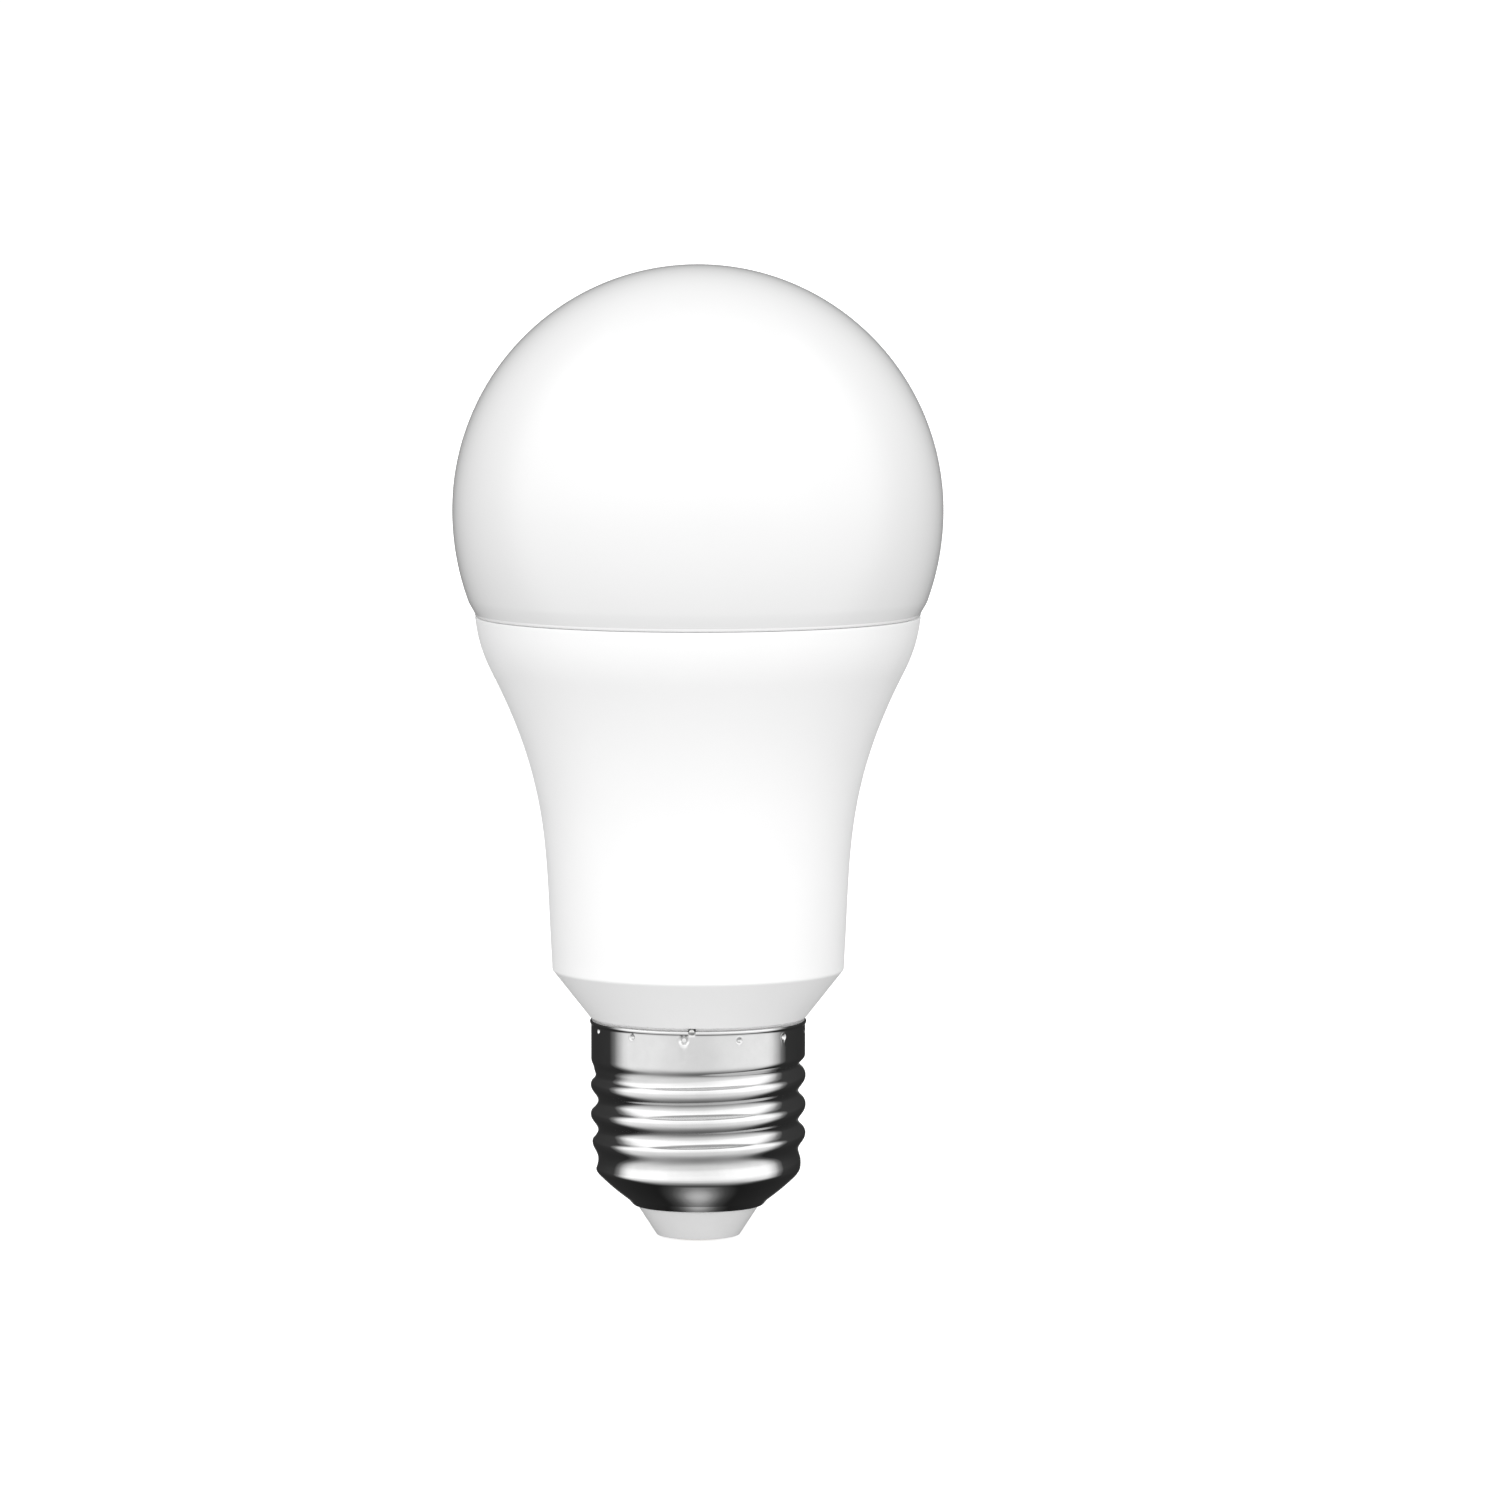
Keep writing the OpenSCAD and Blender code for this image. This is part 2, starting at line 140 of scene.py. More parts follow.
def arc(r, z, radius, start, end, steps):
    """Points along an arc round (r, z), with its angles in degrees."""
    turns = [math.radians(start + (end - start) * i / steps) for i in range(steps + 1)]
    return [(r + radius * math.cos(a), z + radius * math.sin(a)) for a in turns]


def bezier(a, b, c, d, steps):
    """Points of a cubic curve from a to d, without the last one."""
    points = []
    for i in range(steps):
        t = i / steps
        weights = ((1 - t) ** 3, 3 * (1 - t) ** 2 * t, 3 * (1 - t) * t * t, t ** 3)
        points.append(tuple(sum(w * p[k] for w, p in zip(weights, (a, b, c, d))) for k in (0, 1)))
    return points


def flank():
    """The housing's outer flank from the rim down to the corner: a shoulder and a flare."""
    rim = (SHOULDER_R, RIM_Z)
    shoulder = bezier(
        rim, (rim[0] - 0.24, rim[1] - 2),
        (INFLECTION[0] + 1.43, INFLECTION[1] + 2.8), INFLECTION, 24)
    flare = bezier(
        INFLECTION, (INFLECTION[0] - 7.5, INFLECTION[1] - 14.7),
        (CORNER[0] + 0.95, CORNER[1] + 13.6), CORNER, 48)
    return shoulder + flare + [CORNER]


def smooth_path(points, steps=6):
    """A smooth path through given points, by Catmull-Rom segments."""
    p = [Vector(point) for point in points]
    path = []
    for i in range(len(p) - 1):
        a, b, c, d = p[max(i - 1, 0)], p[i], p[i + 1], p[min(i + 2, len(p) - 1)]
        for k in range(steps):
            t = k / steps
            path.append(b + (c - a) * (t / 2) + (2 * a - 5 * b + 4 * c - d) * (t * t / 2)
                        + (3 * b - a - 3 * c + d) * (t ** 3 / 2))
    return path + [p[-1]]


# Meshes

def finish_mesh(name, bm, sharp_angle=35):
    """Turns a bmesh in millimetres into a smooth-shaded object in metres."""
    bmesh.ops.remove_doubles(bm, verts=bm.verts, dist=1e-5)
    bmesh.ops.scale(bm, vec=(MM, MM, MM), verts=bm.verts)
    bmesh.ops.recalc_face_normals(bm, faces=bm.faces)
    mesh = bpy.data.meshes.new(name)
    bm.to_mesh(mesh)
    bm.free()
    mesh.shade_smooth()
    mesh.set_sharp_from_angle(angle=math.radians(sharp_angle))
    piece = bpy.data.objects.new(name, mesh)
    bpy.context.collection.objects.link(piece)
    return piece


def lathe(name, outline_at, angles, closed=True, sharp_angle=35):
    """A turned piece. outline_at(angle) gives the outline there, always with as many points."""
    bm = bmesh.new()
    columns = []
    for angle in angles:
        c, s = math.cos(math.radians(angle)), math.sin(math.radians(angle))
        columns.append([bm.verts.new((r * c, r * s, z)) for r, z in outline_at(angle)])
    count = len(columns[0])
    for i, left in enumerate(columns):
        right = columns[(i + 1) % len(columns)]
        for k in range(count if closed else count - 1):
            n = (k + 1) % count
            bm.faces.new((left[k], right[k], right[n], left[n]))
    return finish_mesh(name, bm, sharp_angle)


def even_angles(count):
    return [360 * i / count for i in range(count)]


def place(piece, slot, *nodes):
    """Puts a finished piece on the bulb's one body, in the place of the CAD nodes it shows."""
    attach(piece, BODY)
    if nodes:
        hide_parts(*nodes)
    return piece


# Materials

def node_of(tree, kind, **inputs):
    """A shader node with its sockets set by name."""
    node = tree.nodes.new(kind)
    for name, value in inputs.items():
        node.inputs[name.replace("_", " ")].default_value = value
    return node


def noise(tree, scale, detail=3.0, stretch=(1, 1, 1)):
    """Noise over the object's own coordinates. scale is in features per metre."""
    coordinates = tree.nodes.new("ShaderNodeTexCoord")
    mapping = node_of(tree, "ShaderNodeMapping", Scale=stretch)
    texture = node_of(tree, "ShaderNodeTexNoise", Scale=scale, Detail=detail)
    tree.links.new(coordinates.outputs["Object"], mapping.inputs["Vector"])
    tree.links.new(mapping.outputs["Vector"], texture.inputs["Vector"])
    return texture.outputs["Fac"]


def surface(name, colour, roughness, *, shade=0.04, blotch=300, grain=3000, grain_height=0.00001,
            stretch=(1, 1, 1), roughness_spread=0.06, **sockets):
    """A material with uneven colour, uneven roughness and a fine grain that bumps the surface."""
    material = bpy.data.materials.new(name)
    material.use_nodes = True
    tree = material.node_tree
    shader = tree.nodes["Principled BSDF"]
    for socket, value in sockets.items():
        shader.inputs[socket.replace("_", " ")].default_value = value

    blotches = noise(tree, blotch)
    ramp = tree.nodes.new("ShaderNodeValToRGB")
    ramp.color_ramp.elements[0].position = 0.3
    ramp.color_ramp.elements[1].position = 0.7
    ramp.color_ramp.elements[0].color = (*[c * (1 - shade) for c in colour], 1)
    ramp.color_ramp.elements[1].color = (*colour, 1)
    tree.links.new(blotches, ramp.inputs["Fac"])
    tree.links.new(ramp.outputs["Color"], shader.inputs["Base Color"])

    wear = noise(tree, blotch * 2.3, stretch=stretch)
    spread = node_of(tree, "ShaderNodeMapRange", To_Min=max(roughness - roughness_spread, 0.01),
                     To_Max=roughness + roughness_spread)
    tree.links.new(wear, spread.inputs["Value"])
    tree.links.new(spread.outputs["Result"], shader.inputs["Roughness"])

    bump = node_of(tree, "ShaderNodeBump", Strength=1.0, Distance=grain_height)
    tree.links.new(noise(tree, grain, 2.0, stretch), bump.inputs["Height"])
    tree.links.new(bump.outputs["Normal"], shader.inputs["Normal"])
    return material


OPAL = surface("opal_polycarbonate", (0.8, 0.8, 0.8), 0.08, shade=0.012, blotch=60, grain=900,
               grain_height=0.000004, roughness_spread=0.02)
HOUSING_WHITE = surface("housing_plastic", (0.89, 0.89, 0.89), 0.42, shade=0.01, blotch=120,
                        grain=5000, grain_height=0.000006)
NICKEL = surface("nickel_plate", (0.66, 0.66, 0.66), 0.055, shade=0.05, blotch=500, grain=900,
                 grain_height=0.0000012, stretch=(0.4, 0.4, 5), roughness_spread=0.02, Metallic=1.0)
TIP_GREY = surface("insulator_plastic", (0.75, 0.75, 0.75), 0.35, shade=0.03, blotch=500)
BRASS = surface("contact_brass", (0.8, 0.66, 0.4), 0.25, shade=0.12, blotch=800, Metallic=1.0,
                stretch=(1, 1, 6))
SILICONE = surface("silicone", (0.9, 0.9, 0.89), 0.5, shade=0.03, blotch=700)
ALUMINIUM = surface("drawn_aluminium", (0.74, 0.75, 0.76), 0.38, shade=0.1, blotch=250, grain=2500,
                    stretch=(1, 1, 0.1), grain_height=0.000015, Metallic=1.0)
BOARD_WHITE = surface("white_solder_mask", (0.88, 0.88, 0.87), 0.4, shade=0.03, blotch=350,
                      Coat_Weight=0.3, Coat_Roughness=0.2)
LED_WHITE = surface("led_package", (0.9, 0.9, 0.88), 0.35, shade=0.03, blotch=2000)
WARM_PHOSPHOR = surface("warm_phosphor_gel", (0.92, 0.55, 0.1), 0.12, shade=0.15, blotch=3000,
                        Coat_Weight=0.6)
COOL_PHOSPHOR = surface("cool_phosphor_gel", (0.88, 0.8, 0.18), 0.12, shade=0.12, blotch=3000,
                        Coat_Weight=0.6)
ZINC = surface("zinc_plate", (0.62, 0.62, 0.6), 0.28, shade=0.15, blotch=1500, Metallic=1.0)
PASTE = surface("thermal_paste", (0.84, 0.84, 0.84), 0.7, shade=0.08, blotch=900,
                grain_height=0.00006, grain=1500)
NYLON = surface("socket_nylon", (0.86, 0.84, 0.78), 0.45, shade=0.05, blotch=800)
GOLD = surface("gold_flash", (0.86, 0.64, 0.28), 0.22, shade=0.12, blotch=2500, Metallic=1.0)
BOARD_GREEN = surface("green_solder_mask", (0.02, 0.14, 0.05), 0.3, shade=0.3, blotch=400,
                      grain=2500, grain_height=0.00002, Coat_Weight=0.4, Coat_Roughness=0.15)
BOARD_BLUE = surface("blue_solder_mask", (0.01, 0.03, 0.13), 0.3, shade=0.3, blotch=500,
                     grain=2500, grain_height=0.00002, Coat_Weight=0.4, Coat_Roughness=0.15)
LACQUER = surface("resistor_lacquer", (0.3, 0.38, 0.27), 0.35, shade=0.12, blotch=1500)
BAND_BLACK = surface("resistor_black_band", (0.02, 0.02, 0.02), 0.35, shade=0.2, blotch=1500)
BAND_GOLD = surface("resistor_gold_band", (0.55, 0.38, 0.1), 0.3, shade=0.2, blotch=1500)
BLUE_EPOXY = surface("varistor_epoxy", (0.02, 0.07, 0.4), 0.25, shade=0.15, blotch=900, grain=1500,
                     grain_height=0.00004)
FILM_BOX = surface("film_capacitor_box", (0.78, 0.4, 0.04), 0.4, shade=0.07, blotch=700)
MOULDED_BLACK = surface("moulding_compound", (0.025, 0.025, 0.027), 0.5, shade=0.25, blotch=2000,
                        grain=9000)
SLEEVE = surface("capacitor_sleeve", (0.015, 0.02, 0.05), 0.25, shade=0.2, blotch=900,
                 Coat_Weight=0.3)
CAN_TOP = surface("capacitor_can", (0.75, 0.75, 0.76), 0.3, shade=0.08, blotch=1200, Metallic=1.0)
FERRITE = surface("sintered_ferrite", (0.045, 0.045, 0.05), 0.6, shade=0.3, blotch=1500, grain=6000,
                  grain_height=0.00003)
ENAMEL = surface("enamelled_copper", (0.5, 0.16, 0.05), 0.22, shade=0.25, blotch=1500,
                 Coat_Weight=0.5)
TAPE = surface("polyester_tape", (0.8, 0.6, 0.06), 0.25, shade=0.1, blotch=900, Coat_Weight=0.4)
PHENOLIC = surface("black_phenolic", (0.02, 0.02, 0.02), 0.45, shade=0.3, blotch=1500)
CERAMIC = surface("tan_ceramic", (0.42, 0.28, 0.16), 0.35, shade=0.12, blotch=3000)
TIN = surface("tinned_copper", (0.7, 0.7, 0.69), 0.25, shade=0.15, blotch=2500, Metallic=1.0)
SHIELD_STEEL = surface("tinned_steel", (0.68, 0.68, 0.68), 0.3, shade=0.08, blotch=600, grain=3000,
                       stretch=(0.1, 1, 1), Metallic=1.0)
RED_INSULATION = surface("red_insulation", (0.5, 0.02, 0.015), 0.3, shade=0.12, blotch=1500)

CARRIED = {
    "heat_sink_cup": ALUMINIUM, "led_board": BOARD_WHITE, "led_board_screws": ZINC,
    "thermal_paste": PASTE, "led_socket": NYLON, "driver_board": BOARD_GREEN,
    "wireless_board": BOARD_BLUE, "antenna_trace": GOLD, "wireless_header": PHENOLIC,
    "choke_core": FERRITE, "transformer_core": FERRITE, "transformer_bobbin": PHENOLIC,
}


def dress_carried_nodes():
    """Gives every CAD node that stays in the model its own material."""
    for node, material in CARRIED.items():
        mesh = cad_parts[node].data
        mesh.materials.clear()
        mesh.materials.append(material)


# The globe

def globe_arc(radius, start, end, steps):
    """The globe's outline: a sphere above its centre, and a slightly stretched one below."""
    points = []
    for i in range(steps + 1):
        a = math.radians(start + (end - start) * i / steps)
        stretch = GLOBE_STRETCH if a < 0 else 1.0
        points.append((max(radius * math.cos(a), 0.0), GLOBE_Z + radius * math.sin(a) * stretch))
    return points


def make_diffuser():
    edge_z = RIM_Z + SEAM_GAP
    outline = (
        globe_arc(GLOBE_R, 90, -21, 111)
        + arc(GLOBE_SEAM_R - GLOBE_EDGE_R, edge_z + GLOBE_EDGE_R, GLOBE_EDGE_R, 15, -90, 10)
        + arc(SPIGOT_R + 0.15, edge_z - 0.15, 0.15, 90, 180, 3)
        + arc(SPIGOT_R - 0.2, SPIGOT_BOTTOM + 0.2, 0.2, 0, -90, 3)
        + [(SPIGOT_R - SPIGOT_WALL, SPIGOT_BOTTOM), (SPIGOT_R - SPIGOT_WALL, edge_z + 0.6)]
        + globe_arc(GLOBE_R - GLOBE_WALL, -21, 90, 74))
    piece = lathe("opal_globe", lambda angle: outline, even_angles(240), closed=False)
    piece.data.materials.append(OPAL)
    return place(piece, "opal_globe", "diffuser")


def make_sealing_bead():
    width = REBATE[0] - SPIGOT_R
    middle = SPIGOT_R + width / 2
    outline = (
        [(SPIGOT_R, SPIGOT_BOTTOM), (REBATE[0], SPIGOT_BOTTOM), (REBATE[0], RIM_Z - 0.15)]
        + arc(middle, RIM_Z - 0.15, width / 2, 0, 180, 8)[1:])
    piece = lathe("silicone_bead", lambda angle: outline, even_angles(180))
    piece.data.materials.append(SILICONE)
    return place(piece, "silicone", "sealing_bead")


# The housing

def inner_flank(low, high, steps):
    """The housing's inner wall from height low to height high."""
    curve = sorted((z, r) for r, z in flank())
    points = []
    for i in range(steps + 1):
        z = low + (high - low) * i / steps
        above = next(k for k, (height, _) in enumerate(curve) if height >= z)
        (z0, r0), (z1, r1) = curve[above - 1], curve[above]
        points.append((r0 + (r1 - r0) * (z - z0) / (z1 - z0) - HOUSING_WALL, z))
    return points


def housing_outline(groove):
    """The housing's outline. groove is 1 inside the slot for the neutral wire, else 0."""
    slot_r = NECK_LOWER_R - 0.75
    neck_r = NECK_R + (slot_r - NECK_R) * groove
    lower_r = NECK_LOWER_R + (slot_r - NECK_LOWER_R) * groove
    rim_edge = 0.12
    return (
        [(REBATE[0], RIM_Z)]
        + arc(SHOULDER_R - rim_edge, RIM_Z - rim_edge, rim_edge, 90, 0, 5)
        + flank()[2:-3]
        + arc(CORNER[0] - 0.55, CORNER[1] + 0.3, 0.6, 4, -48, 8)
        + arc(BOTTOM_R - 0.3, HOUSING_BOTTOM + 0.3, 0.3, -37, -90, 5)
        + [(neck_r, HOUSING_BOTTOM), (neck_r, NECK_STEP_Z), (lower_r, NECK_STEP_Z),
           (lower_r, NECK_BOTTOM), (NECK_BORE_R, NECK_BOTTOM), (NECK_BORE_R, NECK_INSIDE_TOP[1]),
           NECK_INSIDE_TOP, CHAMFER_INSIDE_TOP]
        + inner_flank(34, REBATE[1], 40)
        + [REBATE])


def make_housing():
    half_slot = math.degrees(0.4 / NECK_R)
    edge = half_slot * 0.15
    slot_angles = [WIRE_ANGLE + k * half_slot for k in (-1, 1)]
    angles = sorted(even_angles(240) + [a + e for a in slot_angles for e in (-edge, edge)])
    outlines = [housing_outline(0), housing_outline(1)]
    piece = lathe(
        "housing_shell", lambda angle: outlines[abs(angle - WIRE_ANGLE) < half_slot], angles)
    piece.data.materials.append(HOUSING_WHITE)
    return place(piece, "housing_plastic", "housing")


# The screw cap

def thread_shape(below):
    """1 on a crest and 0 in a groove. below is the part of a pitch gone down from the crest.

    A narrow step in each upward-facing flank puts a thin dark line in its reflections.
    """
    groove = 0.52
    step, step_width, step_turn = 0.81, 0.022, 0.018
    if below < groove:
        turn = 0.5 * below / groove
    else:
        turn = 0.5 + 0.5 * (below - groove) / (1 - groove)
    turn += step_turn * math.tanh((below - step) / step_width)
    return 0.5 + 0.5 * math.cos(2 * math.pi * turn)


def thread_r(angle, z):
    """The thread's radius: a helix that leans a little, with a lower last crest above the cone."""
    crest = CREST_R - TAIL_LOSS * (1 - smooth_step(9, 13, z))
    lean = THREAD_LEAN * math.cos(math.radians(angle - LEAN_ANGLE))
    crest_z = CREST_Z + lean + PITCH * (angle - 180) / 360
    return ROOT_R + (crest - ROOT_R) * thread_shape((crest_z - z) / PITCH % 1.0)


def shell_r(angle, z):
    """The cap's outer radius: the lower cone, the thread, and the fade into the skirt.

    The last groove runs out early on the -X side.
    """
    run_out = 0.275 * (1 - math.cos(math.radians(angle)))
    run_out *= smooth_step(SKIRT_Z - 3.7, SKIRT_Z - 2.3, z)
    fade = 1 - (1 - run_out) * (1 - smooth_step(SKIRT_Z - 1.9, SKIRT_Z - 0.5, z))
    body = thread_r(angle, z) * (1 - fade) + SKIRT_R * fade
    up = z - CONE[1]
    cone_height, cone_bulge = 3.7, 0.2
    bulge = cone_bulge * math.sin(math.pi * min(up / cone_height, 1.0))
    return smooth_min(body, CONE[0] + CONE_SLOPE * up + bulge, 0.45)


def signed_turn(angle, middle):
    """The angle from middle to angle, from -180 to 180 degrees."""
    return (angle - middle + 180) % 360 - 180


def dent_depth(angle, z):
    """How far the staking dents push the skirt in here. The first is the largest, with a crease."""
    depth = 0.0
    for i in range(DENTS):
        dent_angle = FIRST_DENT_ANGLE + 360 * i / DENTS
        size, deep = (0.5, 0.52) if i == 0 else (0.3, 0.33)
        across = math.radians(signed_turn(angle, dent_angle)) * SKIRT_R
        dent_z = DENT_Z - 0.2 * (1 + math.cos(math.radians(dent_angle)))
        away = math.hypot(across, z - dent_z) / size
        if away < 2.2:
            raised_rim = 0.04 * math.exp(-((away - 1.4) / 0.3) ** 2)
            depth += deep * math.exp(-(1.2 * away) ** 2) - raised_rim
        if i == 0:
            crease = smooth_step(22.4, 23.4, z) * (1 - smooth_step(24.9, 25.5, z))
            depth += 0.02 * crease * math.exp(-(across / 0.4) ** 2)
    return depth


def shell_column(angle):
    """The cap's outline at one angle: the lip, the outside upwards, the bead, and the inside."""
    notch = math.radians(abs(signed_turn(angle, WIRE_ANGLE))) * SKIRT_R
    tube = BEAD_TUBE * (0.35 + 0.65 * smooth_step(0.28, 0.42, notch))
    thread_zs = [CONE[1] + 0.3 + 0.12 * i for i in range(160)]
    skirt_zs = [23.6, 24.1, 24.6, 25.0] + [25.1 + 0.085 * i for i in range(12)]
    inner_zs = [26.1, 24.8, 23.4] + [22.9 - 0.36 * i for i in range(52)]
    outside = [(shell_r(angle, z) - dent_depth(angle, z), z) for z in thread_zs + skirt_zs]
    bead = arc(SKIRT_R - BEAD_INSET, BEAD_Z, tube, -56, 190, 16)
    inside = [(shell_r(angle, z) - SHEET, z) for z in inner_zs if z > CONE[1] + 0.1]
    return arc(CONE[0] - LIP_R, CONE[1], LIP_R, 180, 318, 10) + outside + bead + inside


def make_screw_shell():
    """The screw cap, with columns close together at each dent and at the neutral wire."""
    spread = math.degrees(0.75 / SKIRT_R)
    angles = set(even_angles(180))
    for i in range(DENTS):
        middle = FIRST_DENT_ANGLE + 360 * i / DENTS
        angles.update((middle + spread * k / 7) % 360 for k in range(-7, 8))
    angles.update(WIRE_ANGLE + math.degrees(0.45 / SKIRT_R) * k / 6 for k in range(-6, 7))
    piece = lathe("screw_cap_shell", shell_column, sorted(angles), sharp_angle=60)
    piece.data.materials.append(NICKEL)
    return place(piece, "cap_metal", "screw_shell")


def make_cap_insulator():
    outline = (
        [(1.05, 0.8), (HEAD_R + 0.1, 0.8), (HEAD_R + 0.1, TIP_BOTTOM)]
        + arc(4.95, TIP_BOTTOM + 0.25, 0.25, -90, -37, 6)
        + arc(7.05, 3.6, 0.3, -37, 0, 5)
        + [(7.36, 4.7), (TIP_R - 0.05, TIP_TOP - 0.9), (9, 7.3), (8, 5.6), (2.4, 5.6),
           (2.4, TIP_TOP), (1.05, TIP_TOP)])
    piece = lathe("cap_insulator_cone", lambda angle: outline, even_angles(144), sharp_angle=50)
    piece.data.materials.append(TIP_GREY)
    return place(piece, "cap_plastic", "cap_insulator")


def make_centre_contact():
    head_top = 0.75
    shank_r = 1.0
    outline = (
        [(0, CONTACT_BOTTOM)]
        + arc(HEAD_R - 0.4, 0.4, 0.4, -90, 0, 8)
        + [(HEAD_R, head_top), (shank_r, head_top), (shank_r, CONTACT_TOP - 0.2),
           (shank_r - 0.2, CONTACT_TOP), (0, CONTACT_TOP)])
    piece = lathe("contact_nail", lambda angle: outline, even_angles(96), closed=False)
    piece.data.materials.append(BRASS)
    return place(piece, "contact_metal", "centre_contact")


# Small parts. Each add_ function adds closed shapes to a bmesh, in millimetres.

def add_rings(bm, rings, matrix=Matrix(), material=0, closed=False):
    """Skins a stack of rings that all have as many points. An open stack gets flat ends."""
    loops = [[bm.verts.new(matrix @ Vector(point)) for point in ring] for ring in rings]
    count = len(loops[0])
    faces = []
    for a, b in zip(loops, loops[1:] + loops[:1] if closed else loops[1:]):
        for i in range(count):
            n = (i + 1) % count
            faces.append(bm.faces.new((a[i], a[n], b[n], b[i])))
    if not closed:
        faces += [bm.faces.new(loops[0][::-1]), bm.faces.new(loops[-1])]
    for face in faces:
        face.material_index = material


def turned_rings(outline, count):
    """A ring of points round the Z axis for each (radius, height) point."""
    turns = [math.tau * i / count for i in range(count)]
    return [[(r * math.cos(a), r * math.sin(a), z) for a in turns] for r, z in outline]


def add_turned(bm, outline, matrix=Matrix(), material=0, count=48):
    """A turned solid round the matrix's Z axis, from (radius, height) points off the axis."""
    add_rings(bm, turned_rings(outline, count), matrix, material)


def round_corners(width, depth, radius, steps=3):
    """Points round a rectangle with round corners."""
    points = []
    for k, (sx, sy) in enumerate([(1, 1), (-1, 1), (-1, -1), (1, -1)]):
        x, y = sx * (width / 2 - radius), sy * (depth / 2 - radius)
        points += arc(x, y, radius, 90 * k, 90 * k + 90, steps)
    return points


def add_block(bm, low, high, edge=0.12, material=0):
    """A block from corner low to corner high with rounded edges."""
    width, depth = high[0] - low[0], high[1] - low[1]
    x0, y0 = (low[0] + high[0]) / 2, (low[1] + high[1]) / 2
    ends = arc(0, low[2] + edge, edge, -90, 0, 3) + arc(0, high[2] - edge, edge, 0, 90, 3)
    rings = []
    for reach, z in ends:
        inset = edge - reach
        outline = round_corners(width - 2 * inset, depth - 2 * inset, reach + 0.01)
        rings.append([(x0 + x, y0 + y, z) for x, y in outline])
    add_rings(bm, rings, material=material)


def add_tube(bm, path, radii, side, count=16):
    """A round tube along path, with one radius a point. side is never along the path."""
    rings = []
    turns = [math.tau * i / count for i in range(count)]
    for i, (centre, radius) in enumerate(zip(path, radii)):
        along = path[min(i + 1, len(path) - 1)] - path[max(i - 1, 0)]
        u = Vector(side).cross(along).normalized()
        v = along.cross(u).normalized()
        rings.append([centre + radius * (math.cos(a) * u + math.sin(a) * v) for a in turns])
    add_rings(bm, rings)


def add_package(bm, x, z, width, height, thick, legs):
    """A moulded package on the driver board's back, with legs above and below it."""
    stand_off = 0.1
    leg_w, leg_t, reach = 0.4, 0.2, 0.9
    add_block(bm, (x - width / 2, BOARD_BACK + stand_off, z - height / 2),
              (x + width / 2, BOARD_BACK + thick, z + height / 2), 0.12)
    for row, end, count in ((-1, z - height / 2, legs[0]), (1, z + height / 2, legs[1])):
        for k in range(count):
            leg_x = x + (k - (count - 1) / 2) * (width - 0.9) / max(count - 1, 1)
            low, high = sorted((end, end + row * reach))
            shoulder_low, shoulder_high = sorted((end - row * 0.1, end + row * 0.35))
            add_block(bm, (leg_x - leg_w / 2, BOARD_BACK, low),
                      (leg_x + leg_w / 2, BOARD_BACK + leg_t, high), 0.04, 1)
            add_block(bm, (leg_x - leg_w / 2, BOARD_BACK + 0.02, shoulder_low),
                      (leg_x + leg_w / 2, BOARD_BACK + thick * 0.55, shoulder_high), 0.04, 1)


def add_chip(bm, x, z, width, height, thick):
    """A ceramic chip on the driver board's back: a body between two tinned ends."""
    end = width * 0.22
    add_block(bm, (x - width / 2 + end, BOARD_BACK, z - height / 2 + 0.03),
              (x + width / 2 - end, BOARD_BACK + thick - 0.03, z + height / 2 - 0.03), 0.04)
    for side in (-1, 1):
        low, high = sorted((x + side * width / 2, x + side * (width / 2 - end - 0.02)))
        add_block(bm, (low, BOARD_BACK, z - height / 2),
                  (high, BOARD_BACK + thick, z + height / 2), 0.08, 1)


def build(name, bm, materials, slot, *nodes):
    """Finishes a bmesh of small parts, gives it its materials and puts it in place."""
    piece = finish_mesh(name, bm)
    for material in materials:
        piece.data.materials.append(material)
    return place(piece, slot, *nodes)


def make_board_guides():
    """Four ribs in the neck, which hold the driver board's foot between them."""
    bm = bmesh.new()
    for side in (-1, 1):
        for front in (BOARD_FRONT - 0.8, BOARD_BACK + 0.1):
            x = side * (NECK_BORE_R - 0.95)
            add_block(bm, (x - 1.05, front, 13.2), (x + 1.05, front + 0.7, 28.2), 0.15)
    build("board_guides", bm, [HOUSING_WHITE], "housing_plastic", "housing")


def make_leds(name, node, slot, radius, first_turn, phosphor):
    """A ring of LED packages, each a white body with a window of phosphor gel."""
    width, depth, height = 2.8, 3.5, 0.65
    window_r, sunk = 1.1, 0.1
    bm = bmesh.new()
    top = limits("led_board")[2]
    for i in range(LEDS_PER_RING):
        matrix = (Matrix.Rotation(math.radians(first_turn + 360 * i / LEDS_PER_RING), 4, "Z")
                  @ Matrix.Translation((radius, 0, top)))
        body = [(0.06, 0.0), (0.0, 0.06), (0.0, height - 0.08), (0.03, height - 0.02),
                (0.08, height)]
        rings = [[(x, y, z) for x, y in round_corners(width - 2 * c, depth - 2 * c, 0.3, 5)]
                 for c, z in body]
        turns = [math.radians(90 * (k // 6) + 90 * (k % 6) / 5.5) for k in range(24)]
        for r, z in ((window_r, height), (window_r - 0.07, height - sunk)):
            rings.append([(r * math.cos(a), r * math.sin(a), z) for a in turns])
        add_rings(bm, rings, matrix)
        dome = [(window_r - 0.08, height - sunk + 0.002), (0.7, height - 0.05), (0.3, height - 0.03)]
        add_turned(bm, dome, matrix, 1, 24)
    build(name, bm, [LED_WHITE, phosphor], slot, node)


